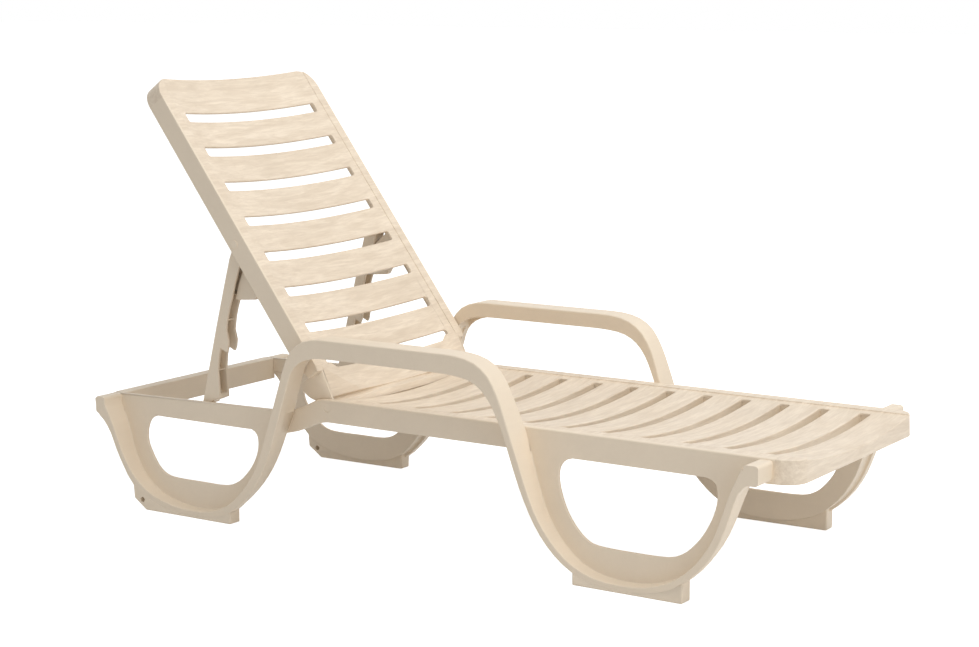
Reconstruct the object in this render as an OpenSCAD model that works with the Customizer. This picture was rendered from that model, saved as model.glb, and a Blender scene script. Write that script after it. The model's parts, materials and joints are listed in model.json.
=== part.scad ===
// Reclining sun lounger: a moulded resin chaise with a slatted seat, a slatted backrest that
// tilts on two hinge pins, and a toothed prop frame that folds with the backrest.
// Frame: X runs from the head end (-) to the foot end (+), Y is up the left side, Z is up.
// The origin lies on the floor under the middle of the lounger. All sizes in millimetres.

/* [Seat] */
// Length of the base from the head crossbar to the foot end
base_l = 1740; // [1720:1:1760]
// Height of the seat rim above the floor
seat_h = 295; // [290:1:300]
// Half width over the seat rails at mid length
rail_half_w = 285.5; // [280:0.5:290]
// Depth of the seat rails and of the foot-end skirt
skirt_d = 48; // [40:1:54]
// Thickness of the side rails
rail_t = 12; // [10:0.5:14]
// Radius of the two corners at the foot end
foot_corner_r = 48; // [20:1:120]
// How far the middle of the seat lies below its edges
dish_d = 20; // [8:1:26]
// Thickness of the slats
slat_t = 7; // [5:0.5:12]
// Width of the raised edge beside the slats
edge_w = 22; // [12:1:26]
// Thickness of the foot-end skirt
skirt_t = 7; // [4:0.5:10]

/* [Slats] */
// Distance from one slot to the next
slot_pitch = 92.6; // [88:0.1:94]
// Width of each slot
slot_w = 24; // [14:1:30]
// Length of each slot across the lounger
slot_l = 470; // [400:1:480]
// Radius of the slot ends' corners
slot_r = 5; // [2:0.5:8]
// Number of slots in the seat
seat_slots = 11; // [8:1:11]
// Number of slots in the backrest
back_slots = 8; // [6:1:8]
// Depth of the turned-down slat edges at mid width
rib_d = 12; // [6:1:16]
// Thickness of the turned-down slat edges
rib_t = 4; // [3:0.5:5]

/* [Side frames] */
// Half width over the leg ribbons and armrests at mid length
ribbon_half_w = 349; // [345:1:353]
// Angle by which the sides spread toward the foot end
toe_deg = 0.4; // [0:0.1:0.5]
// Angle by which the leg panels lean outward toward the floor
lean_deg = 6.3; // [5:0.1:7]
// Thickness of the leg panels
panel_t = 7; // [4:0.5:12]
// Width of the leg ribbon's outer rim, across the lounger
rim_w = 20; // [14:1:26]
// Share of the rim's thickness that the ribbon's wall has behind it
wall_share = 0.6; // [0.4:0.05:0.8]
// Share of the rim's thickness that the armrest's inner skirt has
arm_share = 0.84; // [0.7:0.01:0.9]
// Half distance between the inner faces of the armrests
arm_half_in = 292; // [291:1:298]
// Wall thickness of the hollow armrests
arm_wall = 6; // [4:0.5:8]
// Thickness of each foot across the lounger
foot_t = 34; // [28:1:38]

/* [Backrest] */
// Angle of the raised backrest above the horizontal
back_deg = 53.6; // [52:0.1:55]
// Length of the backrest from the hinge axis to its top edge
back_l = 845; // [835:1:860]
// Half width over the backrest's side walls
back_half_w = 286; // [282:0.5:289]
// Height of the backrest's side walls
back_d = 47; // [42:0.5:48]
// Thickness of the backrest's side walls
cheek_t = 6; // [4:0.5:8]
// Radius of the backrest's top corners
back_corner_r = 50; // [30:1:70]
// Height of the hinge axis above the floor
hinge_h = 278; // [276:0.5:280]
// Distance of the hinge axis behind the middle of the lounger
hinge_back = 246; // [244:0.5:248]
// Diameter of the hinge pins
hinge_pin_d = 12; // [8:0.5:14]

/* [Prop frame] */
// Distance from the hinge axis to the prop's pivot along the backrest
prop_s = 421.3; // [418:0.1:424]
// Length of the prop from its pivot to the peg that it stands on
prop_l = 379.5; // [378:0.1:384]
// Width of each prop arm across the lounger
prop_w = 35; // [28:1:36]
// Wall thickness of the prop arms
prop_wall = 6; // [4:0.5:8]
// Diameter of the prop's pivot pins
prop_pin_d = 12; // [8:0.5:14]
// Diameter of the tube between the two prop arms
tube_d = 16; // [12:0.5:18]
// Diameter of the pegs that the prop stands on
peg_d = 12; // [10:0.5:13]

/* [Fits] */
// Radial clearance of the turning pins
run_gap = 0.05; // [0.02:0.01:0.1]
// Side clearance between moving parts
side_gap = 1.5; // [0.5:0.1:2]
// Diameter of the wheel axle holes in the rear feet
axle_d = 12; // [8:0.5:14]

/* [Hidden] */
$fn = 96;

cream = [0.93, 0.87, 0.77];
sand = [0.86, 0.79, 0.68];
stone = [0.78, 0.70, 0.59];
big = 2200;
head_x = -base_l / 2;
foot_x = base_l / 2;
rail_bottom = seat_h - skirt_d;
hinge_x = -hinge_back;

// --- Side frame outline -------------------------------------------------------------------
// The leg ribbon is one band that runs from the head corner, round the rear foot, up and
// over as the armrest, down and round the front foot, and up to the foot-end corner.
// Each station is [x, z] on the band's upper edge, then [x, z] on its lower edge.
long = base_l / 1740;
tall = seat_h / 295;
function scaled(pts) = [for (p = pts) [p[0] * long, p[1] * tall]];
band_stations = [
  [-846, 247, -868, 244], [-834, 224, -862, 212], [-822, 202, -842, 194], [-806, 168, -822, 166],
  [-790, 130, -806, 130], [-769, 95, -785, 93], [-742, 64, -758, 56], [-698, 37, -708, 26],
  [-640, 21, -645, 9], [-584, 16, -584, 6], [-530, 21, -524, 9], [-482, 40, -471, 26],
  [-450, 66, -434, 56], [-421, 98, -403, 90], [-399, 132, -379, 126], [-383, 168, -361, 163],
  [-368, 210, -346, 205], [-349, 268, -327, 263], [-327, 334, -306, 326], [-309, 384, -294, 360],
  [-280, 420, -272, 382], [-238, 436, -238, 394], [-190, 438, -190, 397], [-60, 438, -60, 397],
  [70, 438, 70, 397], [130, 437, 126, 395], [176, 427, 163, 389], [210, 403, 192, 373],
  [234, 364, 215, 347], [250, 325, 232, 317], [265, 284, 249, 280], [283, 235, 267, 230],
  [301, 186, 286, 181], [322, 138, 309, 132], [347, 99, 335, 91], [378, 65, 368, 55],
  [416, 38, 410, 26], [464, 21, 461, 9], [520, 16, 520, 5], [576, 20, 579, 9],
  [628, 37, 634, 25], [668, 64, 677, 53], [701, 100, 714, 91], [726, 142, 741, 136],
  [744, 190, 760, 186], [760, 236, 776, 232], [784, 286, 795, 252]];
band = [for (b = band_stations) [b[0] * long, b[1] * tall, b[2] * long, b[3] * tall]];

// Key points of the two leg openings
rear_opening = scaled([[-705, 208], [-728, 207.5], [-745, 198], [-753, 176], [-751, 150],
  [-739, 127], [-716, 97], [-690, 80], [-655, 75], [-585, 75], [-515, 76], [-478, 90],
  [-451, 117], [-435, 145], [-429, 171], [-433, 195], [-448, 207], [-475, 208]]);
front_opening = scaled([[402, 243], [375, 242], [357, 234], [348.5, 218], [349, 197], [356, 172],
  [366, 149], [380, 126], [398, 105], [420, 87], [450, 77], [530, 75], [606, 77], [638, 88],
  [660, 106], [680, 131], [696, 162], [704, 190], [705, 216], [698, 234], [680, 242],
  [653, 243]]);

// Lugs that end the ribbon at the head corner and at the foot-end corner
head_lug = [28, 39];
foot_lug = [32, 40];
lug_r = 7;
foot_lug_x = 786 * long;
foot_lug_drop = 3;
// Height at which the armrests rise out of the two legs
arm_cut_h = 262 * tall;
flare_h = 60;
// Share of the band's thickness that is filled behind its rim, by station: the legs have
// wall_share and the armrest has arm_share, with a change over a few stations
rear_change = [14, 17];
front_change = [33, 30];
function share_at(i) = wall_share + (arm_share - wall_share)
  * limited(min(part_of(i, rear_change), part_of(i, front_change)));
function part_of(i, span) = (i - span[0]) / (span[1] - span[0]);
function limited(v) = max(0, min(1, v));

// Rails: low behind the hinge, so that the lowered backrest lies over them
back_rim = 29;
cheek_drop = back_d - back_rim;
rest_gap = 1.5;
rear_rail_h = hinge_h - cheek_drop - rest_gap;
head_rail_h = rear_rail_h - 10;
rear_rail_bottom = 211;
rail_head_gap = 4;
rail_rise = [[-154, 0], [-99, 0.14], [-66, 0.4], [-46, 0.68], [-29, 0.9], [-9, 1]];
rail_dip = [[-106, 0], [-76, 0.2], [-44, 0.55], [-16, 0.88], [10, 1]];
rail_front_x = foot_x - foot_corner_r;
rail_front_w = rail_half_w + rail_front_x * tan(toe_deg);

// Step from the raised edges down to the slats, where the dish would end
edge_step = 1;

// The dishes' strips on each side of the middle, and how far they run past the edges
dish_strips = 10;
dish_run_out = 40;

// Seat: one dish across the whole width
edge_set_in = 12;
hinge_room = 18;
seat_back_x = hinge_x + hinge_room;
end_slat = 79.4;
seat_pitch = (foot_x - end_slat - seat_back_x) / seat_slots;
seat_slat_w = seat_pitch - slot_w;
seat_edge_in = rail_half_w - rail_t - edge_w;
seat_dish_half = rail_half_w - rail_t - edge_set_in;

// Crossbars
head_bar_w = 31;
head_bar_h = 52;
hinge_bar_w = 40;
bar_wall = 6;

// Backrest, drawn lying flat with its hinge axis at the origin
knuckle_r = 12;
back_dish_d = 21;
back_start = 16;
back_dish_half = 262;
back_edge_in = back_half_w - cheek_t - edge_w;
wide_s = 77;
slope_top = 14;
slope_s = 90;
slope_deg = atan((back_rim - slope_top) / (slope_s - back_start));
narrow_w = rail_half_w - rail_t - side_gap - 1;
back_slot_s = 91.7;
back_rib_half = 232;
back_rib_in = 20;
pin_head_r = 9;
pin_head_t = 1.5;
pin_seat_y = 282.5;
pin_reach = 25;

// Prop frame
prop_out = narrow_w - 0.5;
prop_in = prop_out - prop_w;
prop_head_r = 13;
boss_r = 14;
tube_s = 24;
tube_bore = 3;
peg_fwd = 6.6;
peg_drop = 11;
peg_lap = 9;
stop_in = 240;
stop_w = 18;
pivot_x = hinge_x - prop_s * cos(back_deg);
pivot_z = hinge_h + prop_s * sin(back_deg);
peg_z = rear_rail_h - peg_drop;
prop_line_deg = acos((pivot_z - peg_z) / prop_l);
prop_lean = prop_line_deg + asin(peg_fwd / prop_l);
peg_x = pivot_x - prop_l * sin(prop_line_deg);

// Notch in the arm's foot that sits on the peg, its top rising forward so that it lifts off
notch_gap = 0.25;
notch_deg = 36;
notch_r = peg_d / 2 + notch_gap;
peg_down = sqrt(prop_l * prop_l - peg_fwd * peg_fwd);
notch_lip = peg_fwd - notch_r;
function notch_top(fwd) = peg_down - notch_r * cos(notch_deg)
  - (fwd - peg_fwd + notch_r * sin(notch_deg)) * tan(notch_deg);

// Outline of a prop arm at rest: [forward of its axis, below its pivot]
prop_edge = [[-13, 0], [-19, 40], [-20, 90], [-21, 200], [-20, peg_down + 3],
  [notch_lip, peg_down + 1], [notch_lip, notch_top(notch_lip)], [25, notch_top(25)],
  [22, 347], [6, 298], [1, 266], [1, 246], [20, 250], [22, 240], [20, 222], [9, 202], [6, 175],
  [6, 152], [8, 128], [9, 90], [13, 50], [13, 0]];

// Position of the wheel axle holes in the rear feet
axle_x = -731 * long;
axle_z = 23;

// --- Helpers ------------------------------------------------------------------------------
function smooth(p0, p1, p2, p3, t) =
  0.5 * (2 * p1 + (p2 - p0) * t + (2 * p0 - 5 * p1 + 4 * p2 - p3) * t * t
         + (3 * p1 - p0 - 3 * p2 + p3) * t * t * t);
// Smooth open curve through points
function curve(pts, n = 2) = concat(
  [for (i = [0:len(pts) - 2]) for (k = [0:n - 1])
    smooth(pts[max(i - 1, 0)], pts[i], pts[i + 1], pts[min(i + 2, len(pts) - 1)], k / n)],
  [pts[len(pts) - 1]]);
// Smooth closed curve through points
function loop(pts, n = 3) = let (m = len(pts))
  [for (i = [0:m - 1]) for (k = [0:n - 1])
    smooth(pts[(i + m - 1) % m], pts[i], pts[(i + 1) % m], pts[(i + 2) % m], k / n)];
function reversed(v) = [for (i = [len(v) - 1:-1:0]) v[i]];
// Line inside the band: share 0 is its upper edge and 1 its lower edge
function band_line(share, first = 0, last = len(band) - 1) = curve(
  [for (i = [first:last]) let (s = band[i])
    [s[0] + (s[2] - s[0]) * share, s[1] + (s[3] - s[1]) * share]]);
function wall_line() = curve([for (i = [0:len(band) - 1]) let (b = band[i], share = share_at(i))
  [b[0] + (b[2] - b[0]) * share, b[1] + (b[3] - b[1]) * share]]);
function dish_radius(half, depth) = (half * half + depth * depth) / (2 * depth);

module band_2d(share_a = 0, share_b = 1) {
  polygon(concat(band_line(share_a), reversed(band_line(share_b))));
}

// The same band behind its rim
module wall_2d() {
  polygon(concat(band_line(0), reversed(wall_line())));
}

module area(x0, z0, x1, z1) {
  translate([x0, z0]) square([x1 - x0, z1 - z0]);
}

// Upright plate from a side view, between two distances from the middle
module across(y0, y1) {
  translate([0, y1, 0]) rotate([90, 0, 0]) linear_extrude(y1 - y0) children();
}

// Round bar along Y, between two distances from the middle
module bar_y(x, z, r, y0, y1) {
  translate([x, y1, z]) rotate([90, 0, 0]) cylinder(r = r, h = y1 - y0);
}

// A side frame is drawn on the left; the right one mirrors it
module on_side(right) {
  if (right) mirror([0, 1, 0]) rotate([0, 0, toe_deg]) children();
  else rotate([0, 0, toe_deg]) children();
}

module mirrored(right) {
  if (right) mirror([0, 1, 0]) children();
  else children();
}

// Everything inside a side frame's leaning outer face
module inside_face(inset = 0) {
  translate([0, rail_half_w, seat_h]) rotate([lean_deg, 0, 0])
    translate([-big / 2, -big - inset, -big / 2]) cube([big, big, big]);
}

// The leaning sheet behind a side frame's outer face
module face_sheet(thick) {
  translate([0, rail_half_w, seat_h]) rotate([lean_deg, 0, 0])
    translate([-big / 2, -thick, -big / 2]) cube([big, thick, big]);
}

module between_rails() {
  intersection() {
    children();
    on_side(false) inside_face(rail_t);
    on_side(true) inside_face(rail_t);
  }
}

// Hinge axis at the origin, backrest lying flat toward the head end
module on_back() {
  translate([hinge_x, 0, hinge_h]) rotate([0, back_deg, 0]) children();
}

// Prop pivot at the origin, prop arm pointing straight down
module on_prop() {
  translate([pivot_x, 0, pivot_z]) rotate([0, prop_lean, 0]) children();
}

// --- Slatted trays ------------------------------------------------------------------------
module tray_plan(x0, x1, half_w, corner_r) {
  area(x0, -half_w, x1 - corner_r, half_w);
  area(x0, corner_r - half_w, x1, half_w - corner_r);
  for (side = [-1, 1])
    translate([x1 - corner_r, side * (half_w - corner_r)]) circle(corner_r);
}

// Round-bottomed space above a dished surface, made of flat strips along X that lie within
// a few hundredths of a millimetre of the arc
module dish(rim, half, depth, extra = 0) {
  r = dish_radius(half, depth);
  reach = asin((half + dish_run_out) / r);
  translate([-big / 2, 0, rim - depth + r]) rotate([90, 0, 90]) linear_extrude(big)
    polygon(concat([[big, big], [-big, big]],
      [for (i = [-dish_strips:dish_strips]) let (a = reach * i / dish_strips)
        (r + extra) * [sin(a), -cos(a)]]));
}

module slot_2d() {
  for (sx = [-1, 1], sy = [-1, 1])
    translate([sx * (slot_w / 2 - slot_r), sy * (slot_l / 2 - slot_r)]) circle(slot_r, $fn = 24);
  square([slot_w, slot_l - 2 * slot_r], center = true);
  square([slot_w - 2 * slot_r, slot_l], center = true);
}

// Dished slatted sheet with raised edges and a skirt round its far end
module tray(x0, x1, half_w, corner_r, rim, depth, wall, edge_in, half, dip, slot_x, pitch, slots) {
  difference() {
    translate([0, 0, rim - depth]) linear_extrude(depth) tray_plan(x0, x1, half_w, corner_r);
    intersection() {
      dish(rim - edge_step, half, dip);
      translate([x0 - 1, -edge_in, rim - depth]) cube([x1 - x0 + 2, 2 * edge_in, 2 * depth]);
    }
    difference() {
      translate([0, 0, rim - depth - 1]) linear_extrude(depth)
        tray_plan(x0 - 1, x1 - wall, half_w - wall, corner_r - wall);
      dish(rim - edge_step, half, dip, slat_t);
    }
    for (i = [0:slots - 1])
      translate([slot_x + i * pitch, 0, rim - depth]) linear_extrude(2 * depth) slot_2d();
  }
}

// Turned-down edge of a slat, level along its lower edge
module slat_rib(x, half_w, rim, half, dip) {
  difference() {
    translate([x - rib_t / 2, -half_w, rim - edge_step - dip - slat_t - rib_d])
      cube([rib_t, 2 * half_w, dip + rib_d + slat_t]);
    dish(rim - edge_step, half, dip, slat_t);
  }
}

// --- Seat ---------------------------------------------------------------------------------
first_slot_x = seat_back_x + seat_slat_w + slot_w / 2;

// Outline of the foot end: its skirt leans as the rails do, round two corners
module foot_end_outline() {
  intersection_for(side = [-1, 1])
    translate([0, side * rail_front_w, seat_h]) rotate([side * lean_deg, 0, 0])
      linear_extrude(big, center = true) scale([1, side]) {
        area(-big, -big, foot_x - foot_corner_r, 0);
        area(-big, -big, foot_x, -foot_corner_r);
        translate([foot_x - foot_corner_r, -foot_corner_r]) circle(foot_corner_r);
      }
}

module seat_deck() color(cream) {
  difference() {
    intersection() {
      tray(seat_back_x, foot_x + skirt_t, rail_front_w + skirt_t,
                     foot_corner_r + skirt_t, seat_h, skirt_d, 2 * skirt_t,
                     seat_edge_in, seat_dish_half, dish_d, first_slot_x, seat_pitch, seat_slots);
      foot_end_outline();
    }
    for (right = [false, true]) on_side(right)
      translate([0, rail_half_w, seat_h]) rotate([lean_deg, 0, 0])
        translate([-big / 2, -rail_t, -big / 2]) cube([big / 2 + rail_front_x, big, big]);
  }
}

function slat_lines(first, pitch, slots, off) = [for (i = [0:slots - 1], side = [-1, 1])
  first + i * pitch + side * off];

// The slats' edges are turned down beside the slots, and the slots' two ends are closed by
// walls of the same depth
module seat_ribs() color(sand) between_rails() {
  edge = (slot_w + rib_t) / 2;
  for (x = concat([seat_back_x + 8], slat_lines(first_slot_x, seat_pitch, seat_slots, edge)))
    slat_rib(x, rail_half_w, seat_h, seat_dish_half, dish_d);
  for (i = [0:seat_slots - 1], side = [-1, 1])
    slot_end_wall(first_slot_x + i * seat_pitch, side * (slot_l + rib_t) / 2);
}
module slot_end_wall(x, y) {
  difference() {
    translate([x - slot_w / 2, y - rib_t / 2, seat_h - edge_step - dish_d - slat_t - rib_d])
      cube([slot_w, rib_t, dish_d + rib_d + slat_t]);
    dish(seat_h - edge_step, seat_dish_half, dish_d, slat_t);
  }
}

// --- Crossbars ----------------------------------------------------------------------------
module hollow_bar(x, z, w, h) {
  difference() {
    translate([x, -rail_half_w, z]) cube([w, 2 * rail_half_w, h]);
    translate([x + bar_wall, -rail_half_w - 1, z - 1])
      cube([w - 2 * bar_wall, 2 * rail_half_w + 2, h - bar_wall + 1]);
  }
}

module hinge_crossbar() color(sand) between_rails() {
  top = hinge_h - knuckle_r - 4;
  hollow_bar(hinge_x - hinge_bar_w / 2, rail_bottom, hinge_bar_w, top - rail_bottom);
}

module head_crossbar() color(stone) between_rails() {
  hollow_bar(head_x, head_rail_h - head_bar_h, head_bar_w, head_bar_h);
}

// --- Side rails ---------------------------------------------------------------------------
module rail_2d() {
  head = head_x + rail_head_gap;
  up = seat_h - rear_rail_h;
  polygon(concat(
    [[head, head_rail_h]],
    curve([for (p = rail_rise) [hinge_x + p[0], rear_rail_h + p[1] * up]]),
    [[seat_back_x, seat_h], [rail_front_x, seat_h]],
    reversed(rail_bottom_line())));
}
function rail_bottom_line() = concat(
  [[head_x + rail_head_gap, rear_rail_bottom]],
  curve([for (p = rail_dip)
    [hinge_x + p[0], rear_rail_bottom + p[1] * (rail_bottom - rear_rail_bottom)]]),
  [[rail_front_x, rail_bottom]]);

module side_rail_solid(right) {
  on_side(right) intersection() {
    across(rail_half_w - 4 * rail_t, rail_half_w + 4 * rail_t) rail_2d();
    face_sheet(rail_t);
  }
}

module side_rail(right) color(stone) {
  difference() {
    side_rail_solid(right);
    mirrored(right) {
      bar_y(hinge_x, hinge_h, hinge_pin_d / 2 + run_gap, 0, big / 2);
      bar_y(hinge_x, hinge_h, pin_head_r + run_gap, pin_seat_y, big / 2);
    }
  }
}
module side_rail_left() side_rail(false);
module side_rail_right() side_rail(true);

// --- Legs and armrests --------------------------------------------------------------------
// Ribbon: a full rim at the outside and a thinner wall back to the leaning panel
module ribbon() {
  difference() {
    union() {
      across(ribbon_half_w - rim_w, ribbon_half_w) intersection() {
        band_2d();
        children();
      }
      across(rail_half_w - 2 * rail_t, ribbon_half_w) intersection() {
        wall_2d();
        children();
      }
    }
    inside_face();
  }
}

// Web of a leg, under the rail and inside the ribbon
module panel(first, last, opening) {
  intersection() {
    across(rail_half_w - 4 * rail_t, ribbon_half_w) difference() {
      polygon(band_line(wall_share, first, last));
      polygon(concat(rail_bottom_line(), [[big, rail_bottom], [big, big], [-big, big],
        [-big, rear_rail_bottom]]));
      polygon(loop(opening));
    }
    face_sheet(panel_t);
  }
}

module lug(x, z, size) {
  difference() {
    across(rail_half_w - 2 * rail_t, ribbon_half_w) {
      area(x, z + lug_r, x + size[0], z + size[1] - lug_r);
      area(x + lug_r, z, x + size[0] - lug_r, z + size[1]);
      for (sx = [lug_r, size[0] - lug_r], sz = [lug_r, size[1] - lug_r])
        translate([x + sx, z + sz]) circle(lug_r);
    }
    inside_face();
  }
}

module rear_leg(right) color(stone) on_side(right) {
  panel(0, 19, rear_opening);
  ribbon() {
    area(head_x, 0, hinge_x, arm_cut_h);
  }
  lug(head_x + rail_head_gap, head_rail_h - head_lug[1], head_lug);
}
module rear_leg_left() rear_leg(false);
module rear_leg_right() rear_leg(true);

module front_leg(right) color(stone) on_side(right) {
  panel(28, len(band) - 1, front_opening);
  ribbon() {
    area(200 * long, 0, 330 * long, arm_cut_h);
    area(330 * long, 0, foot_x, seat_h);
  }
  lug(foot_lug_x, seat_h - foot_lug_drop - foot_lug[1], foot_lug);
}
module front_leg_left() front_leg(false);
module front_leg_right() front_leg(true);

// Hollow from below; its inner skirt is shallower, and it meets the rail at its two ends
module armrest(right) color(cream) {
  difference() {
    on_side(right) difference() {
      union() {
        across(ribbon_half_w - rim_w, ribbon_half_w) arm_part() band_2d();
        across(arm_half_in, ribbon_half_w - rim_w) arm_part() wall_2d();
        across(rail_half_w - 2 * rail_t, arm_half_in) arm_part() intersection() {
          wall_2d();
          area(-base_l, 0, base_l, seat_h);
        }
        front_flare();
      }
      across(arm_half_in + arm_wall, ribbon_half_w - arm_wall) intersection() {
        band_2d(0.18, 1.3);
        area(-290 * long, seat_h + 30, 165 * long, big);
      }
      inside_face();
    }
    mirrored(right) translate([hinge_x - 200, 0, rear_rail_h])
      cube([200, back_half_w + side_gap, back_d]);
  }
}
module arm_part() {
  intersection() {
    children();
    area(-400 * long, arm_cut_h, 330 * long, big);
  }
}
// The front strut widens toward the seat as it comes down
module front_flare() {
  difference() {
    across(rail_half_w - rail_t, arm_half_in) arm_part() intersection() {
      wall_2d();
      area(0, seat_h, big, seat_h + flare_h);
    }
    translate([0, rail_half_w, seat_h]) rotate([-atan((arm_half_in - rail_half_w) / flare_h), 0, 0])
      translate([-big / 2, -big, -big / 2]) cube([big, big, big]);
  }
}
module armrest_left() armrest(false);
module armrest_right() armrest(true);

// --- Feet ---------------------------------------------------------------------------------
module foot(right, outline, first, last) {
  on_side(right) {
    across(ribbon_half_w - rim_w, ribbon_half_w) difference() {
      polygon(outline);
      polygon(band_line(1, first, last));
    }
    across(ribbon_half_w - foot_t, ribbon_half_w - rim_w) difference() {
      polygon(outline);
      polygon(band_line(wall_share, first, last));
    }
  }
}

module rear_foot(right) color(stone) {
  difference() {
    foot(right, [[-757 * long, 60], [axle_x - 23, axle_z + 3], [axle_x + 15, 0], [-470 * long, 0],
      [-470 * long, 60]], 0, 19);
    mirrored(right) bar_y(axle_x, axle_z, axle_d / 2, 0, big / 2);
  }
}
module rear_foot_left() rear_foot(false);
module rear_foot_right() rear_foot(true);

module front_foot(right) color(stone) {
  foot(right, [[412 * long, 60], [412 * long, 0], [661 * long, 0], [661 * long, 60]],
       28, len(band) - 1);
}
module front_foot_left() front_foot(false);
module front_foot_right() front_foot(true);

// --- Pegs and hinge pins ------------------------------------------------------------------
module prop_peg(right) color(stone) {
  intersection() {
    mirrored(right) bar_y(peg_x, peg_z, peg_d / 2, prop_out - peg_lap, rail_half_w);
    on_side(right) inside_face(rail_t);
  }
}
module prop_peg_left() prop_peg(false);
module prop_peg_right() prop_peg(true);

module hinge_pin(right) color(sand) mirrored(right) {
  bar_y(hinge_x, hinge_h, hinge_pin_d / 2, narrow_w - cheek_t - pin_reach, pin_seat_y);
  bar_y(hinge_x, hinge_h, pin_head_r, pin_seat_y, pin_seat_y + pin_head_t + 0.5);
}
module hinge_pin_left() hinge_pin(false);
module hinge_pin_right() hinge_pin(true);

// --- Backrest -----------------------------------------------------------------------------
// The backrest's lower end slopes down to the hinge: the slope's plane, seen from above it
module on_slope() {
  translate([-slope_s, 0, back_rim]) rotate([0, slope_deg, 0]) children();
}
module hinge_slope() {
  on_slope() translate([0, -big / 2, 0]) cube([big / 2, big, big / 2]);
}
// Edges under the slope, and the flange that ends the first slat
module hinge_end() {
  difference() {
    union() {
      on_slope() translate([0, -big / 2, -slat_t])
        cube([slope_s - back_start + 4, big, slat_t]);
      translate([-back_start - cheek_t, -back_half_w, -4]) cube([cheek_t, 2 * back_half_w, back_rim]);
    }
    dish(back_rim - edge_step, back_dish_half, back_dish_d);
  }
}
// Width between the side walls: wide over the rails, narrow between them at the hinge
module back_width() {
  translate([back_corner_r - back_l, cheek_t - back_half_w, -big / 2])
    cube([back_l - back_corner_r - wide_s - cheek_t, 2 * (back_half_w - cheek_t), big]);
  translate([-wide_s - cheek_t - 1, cheek_t - narrow_w, -big / 2])
    cube([wide_s + cheek_t + 1 - back_start, 2 * (narrow_w - cheek_t), big]);
  translate([-big, -big / 2, -big / 2]) cube([big - back_l + back_corner_r, big, big]);
}

module backrest_panel() color(cream) on_back() {
  difference() {
    union() {
      intersection() {
        union() {
          mirror([1, 0, 0])
            tray(back_start, back_l, back_half_w, back_corner_r, back_rim, back_d, cheek_t,
                 back_edge_in, back_dish_half, back_dish_d, back_slot_s, slot_pitch, back_slots);
          hinge_end();
        }
        back_width();
      }
      bar_y(0, 0, knuckle_r, cheek_t - narrow_w, narrow_w - cheek_t);
      translate([-back_start - 1, cheek_t - narrow_w, -6])
        cube([back_start + 1, 2 * (narrow_w - cheek_t), 12]);
    }
    hinge_slope();
    for (right = [false, true]) mirrored(right)
      bar_y(0, 0, hinge_pin_d / 2 + run_gap, narrow_w - cheek_t - pin_reach - 1, big / 2);
  }
}

// Two stiffening ribs run under each slat, except where the prop's tube swings and where the
// slope to the hinge begins
module backrest_ribs() color(sand) on_back() {
  for (s = slat_lines(back_slot_s, slot_pitch, back_slots, slot_w / 2 + back_rib_in))
    if (s > slope_s && abs(s - prop_s) > tube_s + tube_d / 2 + rib_t)
      mirror([1, 0, 0]) slat_rib(s, back_rib_half, back_rim, back_dish_half, back_dish_d);
}

// Side view of a backrest side wall. Over the rail it follows the rail's top when it lies flat
module backrest_side_2d() {
  polygon(concat(
    [[back_corner_r - back_l, back_rim], [-slope_s, back_rim], [-wide_s, slope_at(wide_s)],
     [-wide_s, -5]],
    curve([[-wide_s, -5], [-95, -9.5], [-128, -14.5], [-152, -cheek_drop]]),
    [[back_corner_r - back_l, -cheek_drop]]));
}
// Between the rails it is deeper, down to the hinge
module hinge_side_2d() {
  polygon(concat(
    [[-wide_s - cheek_t, slope_at(wide_s + cheek_t)], [-back_start, slope_top]],
    [for (a = [50:-10:-90]) knuckle_r * [cos(a), sin(a)]],
    curve([[-21, -11], [-27, -23], [-38, -34], [-52, -42], [-68, -46], [-wide_s - cheek_t, -46]])));
}
function slope_at(s) = slope_top + (s - back_start) * tan(slope_deg);

module backrest_side(right) color(stone) on_back() mirrored(right) {
  difference() {
    union() {
      across(back_half_w - cheek_t, back_half_w) backrest_side_2d();
      across(narrow_w - cheek_t, narrow_w) hinge_side_2d();
      across(narrow_w - cheek_t, back_half_w) intersection() {
        backrest_side_2d();
        area(-wide_s - cheek_t, -big, -wide_s, big);
      }
      bar_y(-prop_s, 0, boss_r, prop_out + side_gap / 2, back_half_w - cheek_t);
    }
    bar_y(0, 0, hinge_pin_d / 2 + run_gap, 0, big);
    bar_y(-prop_s, 0, prop_pin_d / 2 + run_gap, 0, big);
  }
}
module backrest_side_left() backrest_side(false);
module backrest_side_right() backrest_side(true);

// Bracket under the backrest that the raised prop leans against
module prop_stop(right) color(sand) {
  difference() {
    mirrored(right) across(stop_in, stop_in + stop_w)
      polygon([on_prop_xz(44, 6), on_prop_xz(16, 46), on_prop_xz(9.3, 90), on_prop_xz(8.3, 130),
               on_prop_xz(28, 124), on_prop_xz(63, 112), on_prop_xz(72, 82), on_prop_xz(110, 40)]);
    on_back() dish(back_rim - edge_step, back_dish_half, back_dish_d, slat_t);
  }
}
function on_prop_xz(fwd, down) = [
  pivot_x + fwd * cos(prop_lean) - down * sin(prop_lean),
  pivot_z - fwd * sin(prop_lean) - down * cos(prop_lean)];
module prop_stop_left() prop_stop(false);
module prop_stop_right() prop_stop(true);

module prop_pin(right) color(sand) on_back() mirrored(right) {
  bar_y(-prop_s, 0, prop_pin_d / 2, prop_in - 1, back_half_w);
  bar_y(-prop_s, 0, pin_head_r, back_half_w, back_half_w + pin_head_t);
}
module prop_pin_left() prop_pin(false);
module prop_pin_right() prop_pin(true);

// --- Prop frame ---------------------------------------------------------------------------
module prop_arm_2d() {
  circle(prop_head_r);
  polygon([for (p = prop_edge) [p[0], -p[1]]]);
}

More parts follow.
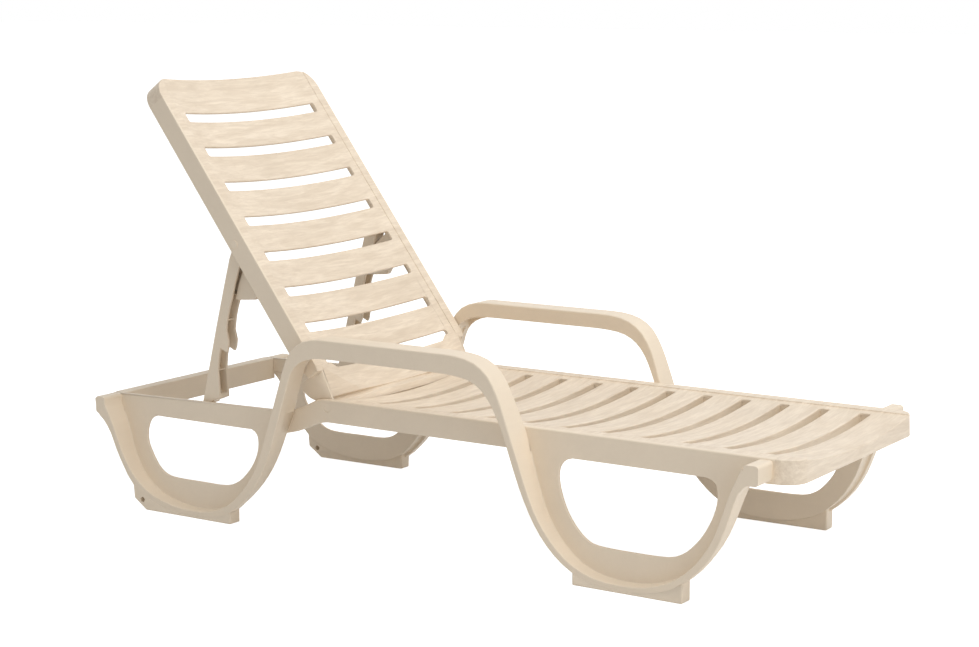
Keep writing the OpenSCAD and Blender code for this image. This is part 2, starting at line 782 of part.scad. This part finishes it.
// Channel that is open toward the foot end, with cross webs
module prop_arm(right) color(sand) on_prop() mirrored(right) {
  difference() {
    across(prop_in, prop_out) prop_arm_2d();
    difference() {
      translate([prop_wall - 21, prop_in + prop_wall, -350]) cube([60, prop_w - 2 * prop_wall, 300]);
      for (z = [-300:60:-90])
        translate([-30, prop_in, z - rib_t / 2]) cube([32, prop_w, rib_t]);
    }
    bar_y(0, 0, prop_pin_d / 2 + run_gap, 0, big);
    bar_y(0, -tube_s, tube_d / 2, 0, prop_in + tube_bore);
  }
}
module prop_arm_left() prop_arm(false);
module prop_arm_right() prop_arm(true);

module prop_tube() color(sand) on_prop() {
  bar_y(0, -tube_s, tube_d / 2, -prop_in - tube_bore, prop_in + tube_bore);
}

// --- Output -------------------------------------------------------------------------------
seat_deck();
seat_ribs();
hinge_crossbar();
head_crossbar();
side_rail_left();
side_rail_right();
armrest_left();
armrest_right();
rear_leg_left();
rear_leg_right();
front_leg_left();
front_leg_right();
rear_foot_left();
rear_foot_right();
front_foot_left();
front_foot_right();
prop_peg_left();
prop_peg_right();
hinge_pin_left();
hinge_pin_right();
backrest_panel();
backrest_ribs();
backrest_side_left();
backrest_side_right();
prop_stop_left();
prop_stop_right();
prop_pin_left();
prop_pin_right();
prop_arm_left();
prop_arm_right();
prop_tube();
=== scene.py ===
"""Reclining resin sun lounger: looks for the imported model, laid out as a Blender add-on."""

import functools
import json
import math

import bmesh
import bpy
from mathutils.bvhtree import BVHTree
from mathutils.kdtree import KDTree
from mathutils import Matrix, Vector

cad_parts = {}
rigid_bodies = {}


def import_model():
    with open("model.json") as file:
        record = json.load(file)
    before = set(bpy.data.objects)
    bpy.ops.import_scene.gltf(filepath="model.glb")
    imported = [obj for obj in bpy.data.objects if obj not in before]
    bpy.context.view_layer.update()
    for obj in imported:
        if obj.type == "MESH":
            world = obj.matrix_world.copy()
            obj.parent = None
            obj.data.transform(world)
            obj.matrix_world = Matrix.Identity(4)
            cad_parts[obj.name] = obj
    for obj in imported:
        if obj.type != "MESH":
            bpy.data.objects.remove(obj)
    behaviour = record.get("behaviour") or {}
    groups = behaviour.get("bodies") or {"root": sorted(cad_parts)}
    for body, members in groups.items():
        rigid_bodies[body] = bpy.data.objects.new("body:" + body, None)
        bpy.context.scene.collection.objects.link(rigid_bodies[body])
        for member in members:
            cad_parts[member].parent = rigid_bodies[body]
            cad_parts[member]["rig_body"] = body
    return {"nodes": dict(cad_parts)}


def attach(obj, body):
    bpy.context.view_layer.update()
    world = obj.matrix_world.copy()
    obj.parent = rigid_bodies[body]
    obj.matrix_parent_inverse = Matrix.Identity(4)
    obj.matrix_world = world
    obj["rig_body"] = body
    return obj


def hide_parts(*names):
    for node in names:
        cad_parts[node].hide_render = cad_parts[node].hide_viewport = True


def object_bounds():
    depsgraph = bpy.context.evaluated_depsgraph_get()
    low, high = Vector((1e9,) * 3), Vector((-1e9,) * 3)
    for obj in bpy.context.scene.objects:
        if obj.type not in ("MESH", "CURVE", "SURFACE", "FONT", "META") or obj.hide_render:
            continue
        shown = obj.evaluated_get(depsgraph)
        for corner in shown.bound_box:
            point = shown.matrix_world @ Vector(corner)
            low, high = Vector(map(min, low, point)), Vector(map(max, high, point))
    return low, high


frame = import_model()
CAD_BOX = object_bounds()

bl_info = {
    "name": "Reclining Sun Lounger",
    "version": (1, 0, 0),
    "blender": (4, 5, 0),
    "location": "View3D > Sidebar > Lounger",
    "description": "Builds the finishes and the studio of a moulded resin sun lounger",
    "category": "Object",
}

BODY_OF = {n: o["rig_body"] for n, o in frame["nodes"].items()}

# Lengths in metres
JOINED = 2e-5  # corners closer than this are one corner
SEAM = 0.0004  # an edge this close to a neighbour of its own moulding lies on their seam
SAME_LINE = 0.0003  # edges closer than this run along one line and not side by side
RIB_RADIUS = 0.0012
ARM_RADIUS = 0.0018
TUBE_RADIUS = 0.001
PIN_RADIUS = 0.0007
BUMP_DEPTH = 0.0004

ROOM_SHARE = 0.45  # share of the free room beside an edge that its rounding may fill
BESIDE_SHARE = 0.45  # edges lie side by side if they overlap by this share of their lengths
PARALLEL = 0.9  # least cosine between edges that count as parallel
DRIFT_SHARE = 0.75  # share of the radius that a point may lie off the CAD surface
FLAT_TURN = math.radians(0.3)  # faces that turn by less than this become one
CORNER_TURN = math.radians(28)  # edges whose faces turn by more than this are rounded
BEVEL_STEPS = 3
FOLD_ROUNDS = 6  # most times that a rounding is made smaller where a face folds over
FOLD_AREA = 1e-7  # a folded triangle smaller than this, in square metres, is let be

SLAT_GRAIN = 0.75  # how strongly the streaks show, from 0 to 1
FRAME_GRAIN = 0.1
PIN_GRAIN = 0.0
PIN_POLISH = 0.1  # how much less rough the pins are
CLOUD_SIZE = 0.12
SPECULAR = 0.35

TOP_PLACE = (1.8, 0.2, 5.2)
FOOT_PLACE = (5.2, -1.5, 2.0)
SOFTBOX_SIDE = 3.0
FLOOR_HALF = 40
FLOOR_GREY = 0.8
FLOOR_LIFT = 0.8  # light added to the floor where it is seen
CAMERA_PLACE = (2.54704, -3.96052, 1.19632)
CAMERA_TILT = math.radians(90 - 9.055)
CAMERA_TURN = math.radians(32.875)
SENSOR_WIDTH = 36


def both(name):
    """The left and the right node of a mirrored pair."""
    return [name + "_left", name + "_right"]


class LoungerSettings(bpy.types.PropertyGroup):
    """Sizes and colours of the lounger's finish and of its studio."""

    # The slats and the frame are one resin. The slat colour is painted a little lighter, as
    # painted light on the lit tops. The frame colour is a little darker and warmer, as painted
    # shade and warm bounce on the shaded sides.
    lit_slat_colour: bpy.props.FloatVectorProperty(
        name="Slat colour", description="Base colour of the grained slats",
        subtype="COLOR", size=3, min=0, max=1, default=(0.91, 0.785, 0.63))
    shaded_frame_colour: bpy.props.FloatVectorProperty(
        name="Frame colour", description="Base colour of the smooth frame",
        subtype="COLOR", size=3, min=0, max=1, default=(0.865, 0.742, 0.585))
    grain_colour: bpy.props.FloatVectorProperty(
        name="Grain colour", description="Colour of the darker streaks in the slats",
        subtype="COLOR", size=3, min=0, max=1, default=(0.70, 0.575, 0.435))
    # The pins take the frame's darker colour, so they carry the same painted shade.
    shaded_pin_colour: bpy.props.FloatVectorProperty(
        name="Pin colour", description="Base colour of the pivot pins",
        subtype="COLOR", size=3, min=0, max=1, default=(0.865, 0.742, 0.585))
    roughness: bpy.props.FloatProperty(
        name="Roughness", description="Roughness of the satin resin", min=0.1, max=1, default=0.45)
    grain_pitch: bpy.props.FloatProperty(
        name="Grain pitch", description="Distance between the streaks of the slats' grain",
        subtype="DISTANCE", unit="LENGTH", min=0.001, max=0.02, default=0.006)
    edge_radius: bpy.props.FloatProperty(
        name="Edge radius", description="Rounding of the thick moulded edges",
        subtype="DISTANCE", unit="LENGTH", min=0.0, max=0.006, default=0.0035)
    slat_radius: bpy.props.FloatProperty(
        name="Slat edge radius", description="Rounding of the slats and of the thin walls",
        subtype="DISTANCE", unit="LENGTH", min=0.0, max=0.003, default=0.0022)
    top_power: bpy.props.FloatProperty(
        name="Top light", description="Power of the softbox over the lounger",
        subtype="POWER", unit="POWER", min=0, max=500, default=125)
    foot_power: bpy.props.FloatProperty(
        name="Foot light", description="Power of the low softbox beyond the foot end",
        subtype="POWER", unit="POWER", min=0, max=500, default=52)
    sky_level: bpy.props.FloatProperty(
        name="Sky level", description="Strength of the even light from all round",
        min=0, max=2, default=0.50)
    camera_lens: bpy.props.FloatProperty(
        name="Camera lens", description="Focal length of the studio camera in millimetres",
        min=20, max=200, default=79.8)


# --- Shapes -------------------------------------------------------------------------------

def merged(node):
    """A CAD node's surface as a bmesh: its loose triangles are joined where their corners meet,
    and those that lie in one plane become one face."""
    bm = bmesh.new()
    bm.from_mesh(frame["nodes"][node].data)
    bmesh.ops.remove_doubles(bm, verts=bm.verts, dist=JOINED)
    bmesh.ops.dissolve_limit(bm, angle_limit=FLAT_TURN, verts=bm.verts, edges=bm.edges)
    return bm


@functools.cache
def seam_trees():
    """One search tree for each node, to find where two nodes of a moulding meet. They are
    made once, before the first piece."""
    trees = {}
    for node in frame["nodes"]:
        bm = merged(node)
        trees[node] = BVHTree.FromBMesh(bm)
        bm.free()
    return trees


def corners(bm, node, radius):
    """The edges whose faces turn by more than the corner angle, each with its share of the
    radius in the bevel weight. An edge on a neighbour of the same moulding gets none: there
    the two nodes run into each other without a groove. Beside a close parallel edge the
    share is smaller."""
    weight = bm.edges.layers.float.new("bevel_weight_edge")
    others = [t for n, t in seam_trees().items() if n != node and BODY_OF[n] == BODY_OF[node]]
    turned = [e for e in bm.edges if len(e.link_faces) == 2
              and e.calc_face_angle(0) > CORNER_TURN]
    for e, free in zip(turned, side_room(turned, radius)):
        if not any(t.find_nearest(middle(e), SEAM)[0] for t in others):
            e[weight] = min(1.0, ROOM_SHARE * free / radius)
    return turned, weight


def moulded(node, radius):
    """A merged copy of a CAD node with rounded corners. Where a face folds over, the roundings
    near it are halved and the bevel is done again; the try with the least folded area stays."""
    bm = merged(node)
    turned, weight = corners(bm, node, radius)
    piece = bpy.data.objects.new(node + "_moulded", bpy.data.meshes.new(node + "_merged"))
    bpy.context.scene.collection.objects.link(piece)
    bevel = piece.modifiers.new("rounding", "BEVEL")
    bevel.limit_method = "WEIGHT"
    bevel.width = radius
    bevel.segments = BEVEL_STEPS
    bevel.use_clamp_overlap = False
    bevel.harden_normals = True
    tried = []
    for _ in range(FOLD_ROUNDS):
        bm.to_mesh(piece.data)
        piece.data.shade_smooth()
        piece.data.set_sharp_from_angle(angle=CORNER_TURN)
        mesh = drawn_back(piece, seam_trees()[node], radius)
        area, folds = folded(mesh)
        tried.append((area, len(tried), mesh))
        if not folds:
            break
        for e in turned:
            ends = [e.verts[0].co, e.verts[1].co, middle(e)]
            if any((end - spot).length < 2 * radius for end in ends for spot in folds):
                e[weight] *= 0.5
    bm.free()
    piece.modifiers.clear()
    piece.data = min(tried)[2]
    piece.data.name = piece.name
    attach(piece, BODY_OF[node])
    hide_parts(node)
    return piece


def middle(edge):
    """The point halfway along an edge."""
    return (edge.verts[0].co + edge.verts[1].co) / 2


def side_room(edges, radius):
    """For each edge, the sideways distance to the nearest edge that runs beside it, or a metre
    where none does within three radii. An edge further along the same line doesn't count."""
    tree = KDTree(len(edges))
    for i, e in enumerate(edges):
        tree.insert(middle(e), i)
    tree.balance()
    room = []
    for e in edges:
        here, along = middle(e), (e.verts[1].co - e.verts[0].co).normalized()
        nearest = 1.0
        for spot, i, _ in tree.find_range(here, 3 * radius + e.calc_length() / 2):
            other = edges[i]
            run = (other.verts[1].co - other.verts[0].co).normalized()
            ahead = (spot - here).dot(along)
            across = (spot - here) - along * ahead
            beside = abs(ahead) < BESIDE_SHARE * (e.calc_length() + other.calc_length())
            parallel = abs(run.dot(along)) > PARALLEL
            if beside and parallel and across.length > SAME_LINE:
                nearest = min(nearest, across.length)
        room.append(nearest)
    return room


def drawn_back(piece, tree, radius):
    """The piece's mesh with its modifiers applied. Each point that lies further than
    three quarters of the radius from the CAD surface goes to the nearest point of it, and
    none leaves the CAD box."""
    seen = bpy.context.evaluated_depsgraph_get()
    mesh = bpy.data.meshes.new_from_object(piece.evaluated_get(seen), depsgraph=seen)
    for vertex in mesh.vertices:
        spot, _, _, away = tree.find_nearest(vertex.co)
        if away > radius * DRIFT_SHARE:
            vertex.co = spot
        vertex.co = [sorted(axis)[1] for axis in zip(CAD_BOX[0], vertex.co, CAD_BOX[1])]
    mesh.update()
    return mesh


def folded(mesh):
    """The triangles that face against the many-sided face they are cut from: their area and
    their corners."""
    mesh.calc_loop_triangles()
    wrong = [t for t in mesh.loop_triangles
             if t.area > FOLD_AREA and t.normal.dot(mesh.polygons[t.polygon_index].normal) < 0]
    return (sum(t.area for t in wrong),
            [mesh.vertices[v].co.copy() for t in wrong for v in t.vertices])


def mould_all(nodes, radius, material):
    """Rounded copies of like pieces, all in one finish."""
    for node in nodes:
        moulded(node, radius).data.materials.append(material)


# --- Finishes -----------------------------------------------------------------------------

def group(name, given, default, made):
    """An empty shader group with one number put in and the named numbers put out."""
    tree = bpy.data.node_groups.new(name, "ShaderNodeTree")
    number = "NodeSocketFloat"
    tree.interface.new_socket(given, in_out="INPUT", socket_type=number).default_value = default
    for socket in made:
        tree.interface.new_socket(socket, in_out="OUTPUT", socket_type=number)
    return tree, tree.nodes.new("NodeGroupInput"), tree.nodes.new("NodeGroupOutput")


def add(tree, kind, values=None, **options):
    """A new node with its options set and its sockets given values or links."""
    node = tree.nodes.new(kind)
    for key, value in options.items():
        setattr(node, key, value)
    for key, value in (values or {}).items():
        if isinstance(value, bpy.types.NodeSocket):
            tree.links.new(value, node.inputs[key])
        else:
            node.inputs[key].default_value = value
    return node


def grain_group():
    """Streaks that run across the lounger: noise in two widths, with one wave for each pitch
    along X and Z and about nine times as long along Y."""
    tree, given, out = group("moulded_grain", "Pitch", 0.005, ["Streaks", "Height"])
    place = add(tree, "ShaderNodeTexCoord").outputs["Object"]
    rate = add(tree, "ShaderNodeMath", {0: 1.0, 1: given.outputs["Pitch"]}, operation="DIVIDE")
    along = add(tree, "ShaderNodeMath", {0: rate.outputs[0], 1: 0.11}, operation="MULTIPLY")
    scale = add(tree, "ShaderNodeCombineXYZ",
                {0: rate.outputs[0], 1: along.outputs[0], 2: rate.outputs[0]})
    drawn = add(tree, "ShaderNodeVectorMath", {0: place, 1: scale.outputs[0]},
                operation="MULTIPLY")
    fine = add(tree, "ShaderNodeTexNoise", {"Vector": drawn.outputs[0], "Scale": 1.0,
                                            "Detail": 5.0, "Roughness": 0.62,
                                            "Distortion": 0.7})
    broad = add(tree, "ShaderNodeTexNoise", {"Vector": drawn.outputs[0], "Scale": 0.22,
                                             "Detail": 3.0, "Roughness": 0.5,
                                             "Distortion": 1.6})
    mixed = add(tree, "ShaderNodeMath", {0: fine.outputs["Fac"], 1: broad.outputs["Fac"]},
                operation="MULTIPLY")
    spread = add(tree, "ShaderNodeMapRange", {"Value": mixed.outputs[0], "From Min": 0.14,
                                              "From Max": 0.40, "To Min": 1.0, "To Max": 0.0})
    tree.links.new(spread.outputs["Result"], out.inputs["Streaks"])
    tree.links.new(fine.outputs["Fac"], out.inputs["Height"])
    return tree


def mottle_group():
    """Slow cloudy variation of the resin, and the fine orange peel of its skin."""
    tree, given, out = group("resin_mottle", "Cloud size", CLOUD_SIZE, ["Clouds", "Peel"])
    place = add(tree, "ShaderNodeTexCoord").outputs["Object"]
    rate = add(tree, "ShaderNodeMath", {0: 1.0, 1: given.outputs["Cloud size"]},
               operation="DIVIDE")
    clouds = add(tree, "ShaderNodeTexNoise", {"Vector": place, "Scale": rate.outputs[0],
                                              "Detail": 3.0, "Roughness": 0.55})
    peel = add(tree, "ShaderNodeTexNoise", {"Vector": place, "Scale": 260.0, "Detail": 2.0})
    tree.links.new(clouds.outputs["Fac"], out.inputs["Clouds"])
    tree.links.new(peel.outputs["Fac"], out.inputs["Peel"])
    return tree


def resin(name, settings, colour, grain, roughness):
    """Satin moulded resin: clouds and streaks shift its colour and its roughness, and the
    streaks and the orange peel raise its skin by a few hundredths of a millimetre."""
    groups = bpy.data.node_groups
    m = bpy.data.materials.new(name)
    m.use_nodes = True
    tree = m.node_tree
    shader = tree.nodes["Principled BSDF"]
    mottle = add(tree, "ShaderNodeGroup",
                 node_tree=groups.get("resin_mottle") or mottle_group())
    streaks = add(tree, "ShaderNodeGroup",
                  node_tree=groups.get("moulded_grain") or grain_group())
    streaks.inputs["Pitch"].default_value = settings.grain_pitch
    amount = add(tree, "ShaderNodeMath", {0: streaks.outputs["Streaks"], 1: grain},
                 operation="MULTIPLY")
    tint = add(tree, "ShaderNodeMix", {"Factor": amount.outputs[0], "A": (*colour, 1),
                                       "B": (*settings.grain_colour, 1)}, data_type="RGBA")
    shade = add(tree, "ShaderNodeMapRange", {"Value": mottle.outputs["Clouds"],
                                             "From Min": 0.3, "From Max": 0.7,
                                             "To Min": 0.975, "To Max": 1.015})
    toned = add(tree, "ShaderNodeVectorMath", {0: tint.outputs["Result"]}, operation="SCALE")
    tree.links.new(shade.outputs["Result"], toned.inputs["Scale"])
    tree.links.new(toned.outputs["Vector"], shader.inputs["Base Color"])
    rough = add(tree, "ShaderNodeMapRange", {"Value": mottle.outputs["Clouds"],
                                             "From Min": 0.3, "From Max": 0.7,
                                             "To Min": roughness - 0.04,
                                             "To Max": roughness + 0.05})
    tree.links.new(rough.outputs["Result"], shader.inputs["Roughness"])
    shader.inputs["Specular IOR Level"].default_value = SPECULAR
    skin = add(tree, "ShaderNodeMath", {0: mottle.outputs["Peel"], 1: 0.35},
               operation="MULTIPLY")
    relief = add(tree, "ShaderNodeMath", {0: streaks.outputs["Height"], 1: grain,
                                          2: skin.outputs[0]}, operation="MULTIPLY_ADD")
    bump = add(tree, "ShaderNodeBump", {"Height": relief.outputs[0], "Strength": 0.35,
                                        "Distance": BUMP_DEPTH})
    tree.links.new(bump.outputs["Normal"], shader.inputs["Normal"])
    return m


# --- Operators ----------------------------------------------------------------------------

class LOUNGER_OT_seat(bpy.types.Operator):
    """Round and finish the slatted seat, its ribs and the two crossbars."""
    bl_idname = "lounger.seat"
    bl_label = "Seat"

    def execute(self, context):
        s = context.scene.lounger
        # Lighter colour on the slats, darker colour on the frame parts: painted light and painted
        # shade of one resin.
        slats = resin("grained_resin", s, s.lit_slat_colour, SLAT_GRAIN, s.roughness)
        plain = resin("smooth_resin", s, s.shaded_frame_colour, FRAME_GRAIN, s.roughness)
        mould_all(["seat_deck"], s.slat_radius, slats)
        mould_all(["seat_ribs"], RIB_RADIUS, plain)
        mould_all(["hinge_crossbar", "head_crossbar"], s.slat_radius, plain)
        return {"FINISHED"}


class LOUNGER_OT_side_frames(bpy.types.Operator):
    """Round and finish the rails, legs, armrests and feet."""
    bl_idname = "lounger.side_frames"
    bl_label = "Side frames"

    def execute(self, context):
        s = context.scene.lounger
        plain = bpy.data.materials["smooth_resin"]
        mould_all(both("side_rail"), s.edge_radius, plain)
        mould_all(both("rear_leg") + both("front_leg"), s.slat_radius, plain)
        mould_all(both("armrest"), s.edge_radius, plain)
        mould_all(both("rear_foot") + both("front_foot"), s.edge_radius, plain)
        return {"FINISHED"}


class LOUNGER_OT_backrest(bpy.types.Operator):
    """Round and finish the backrest and the brackets under it."""
    bl_idname = "lounger.backrest"
    bl_label = "Backrest"

    def execute(self, context):
        s = context.scene.lounger
        slats = bpy.data.materials["grained_resin"]
        plain = bpy.data.materials["smooth_resin"]
        mould_all(["backrest_panel"], s.slat_radius, slats)
        mould_all(both("backrest_side"), s.slat_radius, plain)
        mould_all(["backrest_ribs"], RIB_RADIUS, plain)
        mould_all(both("prop_stop"), s.slat_radius, plain)
        return {"FINISHED"}


class LOUNGER_OT_prop_frame(bpy.types.Operator):
    """Round and finish the folding prop frame, its tube, pegs and all the pins."""
    bl_idname = "lounger.prop_frame"
    bl_label = "Prop frame"

    def execute(self, context):
        s = context.scene.lounger
        plain = bpy.data.materials["smooth_resin"]
        pins = resin("pin_finish", s, s.shaded_pin_colour, PIN_GRAIN, s.roughness - PIN_POLISH)
        mould_all(both("prop_arm"), ARM_RADIUS, plain)
        mould_all(["prop_tube"] + both("prop_peg"), TUBE_RADIUS, plain)
        mould_all(both("hinge_pin") + both("prop_pin"), PIN_RADIUS, pins)
        return {"FINISHED"}


class LOUNGER_OT_studio(bpy.types.Operator):
    """Make the floor, the lights, the world and the camera."""
    bl_idname = "lounger.studio"
    bl_label = "Studio"

    def execute(self, context):
        s = context.scene.lounger
        scene = context.scene
        scene.view_settings.view_transform = "Standard"
        self.floor(scene)
        self.world(scene, s.sky_level)
        self.softbox(scene, "top_softbox", TOP_PLACE, s.top_power)
        self.softbox(scene, "foot_softbox", FOOT_PLACE, s.foot_power)
        cam = bpy.data.objects.new("camera", bpy.data.cameras.new("camera"))
        cam.data.lens = s.camera_lens
        cam.data.sensor_width = SENSOR_WIDTH
        cam.location = CAMERA_PLACE
        cam.rotation_euler = (CAMERA_TILT, 0, CAMERA_TURN)
        scene.collection.objects.link(cam)
        scene.camera = cam
        return {"FINISHED"}

    def softbox(self, scene, name, place, power):
        """A square area light that faces the floor under the middle of the lounger."""
        lamp = bpy.data.lights.new(name, "AREA")
        lamp.energy = power
        lamp.size = SOFTBOX_SIDE
        box = bpy.data.objects.new(name, lamp)
        box.location = place
        box.rotation_euler = (-box.location).to_track_quat("-Z", "Y").to_euler()
        scene.collection.objects.link(box)

    def seen(self, tree):
        """A socket that is 1 where the camera sees this directly, reflected or through glass."""
        path = add(tree, "ShaderNodeLightPath")
        mirrored = add(tree, "ShaderNodeMath", {0: path.outputs["Is Glossy Ray"],
                                                1: path.outputs["Is Transmission Ray"]},
                       operation="MAXIMUM")
        return add(tree, "ShaderNodeMath", {0: path.outputs["Is Camera Ray"],
                                            1: mirrored.outputs[0]},
                   operation="MAXIMUM").outputs[0]

    def floor(self, scene):
        """A pale floor that keeps the shadow, lifted up to white where it is seen."""
        mesh = bpy.data.meshes.new("floor")
        h = FLOOR_HALF
        mesh.from_pydata([(-h, -h, 0), (h, -h, 0), (h, h, 0), (-h, h, 0)], [], [(0, 1, 2, 3)])
        floor = bpy.data.objects.new("floor", mesh)
        scene.collection.objects.link(floor)
        m = bpy.data.materials.new("floor_paint")
        m.use_nodes = True
        tree = m.node_tree
        shader = tree.nodes["Principled BSDF"]
        shader.inputs["Base Color"].default_value = (FLOOR_GREY, FLOOR_GREY, FLOOR_GREY, 1)
        shader.inputs["Roughness"].default_value = 0.9
        shader.inputs["Specular IOR Level"].default_value = 0.1
        lift = add(tree, "ShaderNodeMath", {0: self.seen(tree), 1: FLOOR_LIFT},
                   operation="MULTIPLY")
        glow = add(tree, "ShaderNodeEmission", {"Color": (1, 1, 1, 1),
                                                "Strength": lift.outputs[0]})
        total = add(tree, "ShaderNodeAddShader", {0: shader.outputs[0], 1: glow.outputs[0]})
        tree.links.new(total.outputs[0], tree.nodes["Material Output"].inputs["Surface"])
        mesh.materials.append(m)

    def world(self, scene, level):
        """Even light from all round; seen directly or in a reflection it is plain white."""
        world = bpy.data.worlds.new("studio")
        scene.world = world
        world.use_nodes = True
        tree = world.node_tree
        sky = tree.nodes["Background"]
        sky.inputs["Color"].default_value = (1, 1, 1, 1)
        strength = add(tree, "ShaderNodeMapRange", {"Value": self.seen(tree),
                                                    "To Min": level, "To Max": 1.0})
        tree.links.new(strength.outputs["Result"], sky.inputs["Strength"])


class LOUNGER_PT_panel(bpy.types.Panel):
    """Sidebar panel that lists the settings and the build steps."""
    bl_idname = "LOUNGER_PT_panel"
    bl_label = "Sun Lounger"
    bl_space_type = "VIEW_3D"
    bl_region_type = "UI"
    bl_category = "Lounger"

    def draw(self, context):
        for name in LoungerSettings.__annotations__:
            self.layout.prop(context.scene.lounger, name)
        for step in STEPS:
            self.layout.operator(step.bl_idname)


STEPS = (LOUNGER_OT_seat, LOUNGER_OT_side_frames, LOUNGER_OT_backrest, LOUNGER_OT_prop_frame,
         LOUNGER_OT_studio)
CLASSES = (LoungerSettings, *STEPS, LOUNGER_PT_panel)


def register():
    for c in CLASSES:
        bpy.utils.register_class(c)
    bpy.types.Scene.lounger = bpy.props.PointerProperty(type=LoungerSettings)


def unregister():
    del bpy.types.Scene.lounger
    for c in reversed(CLASSES):
        bpy.utils.unregister_class(c)


def main():
    register()
    for step in STEPS:
        space, name = step.bl_idname.split(".")
        getattr(getattr(bpy.ops, space), name)()


if __name__ == "__main__":
    main()
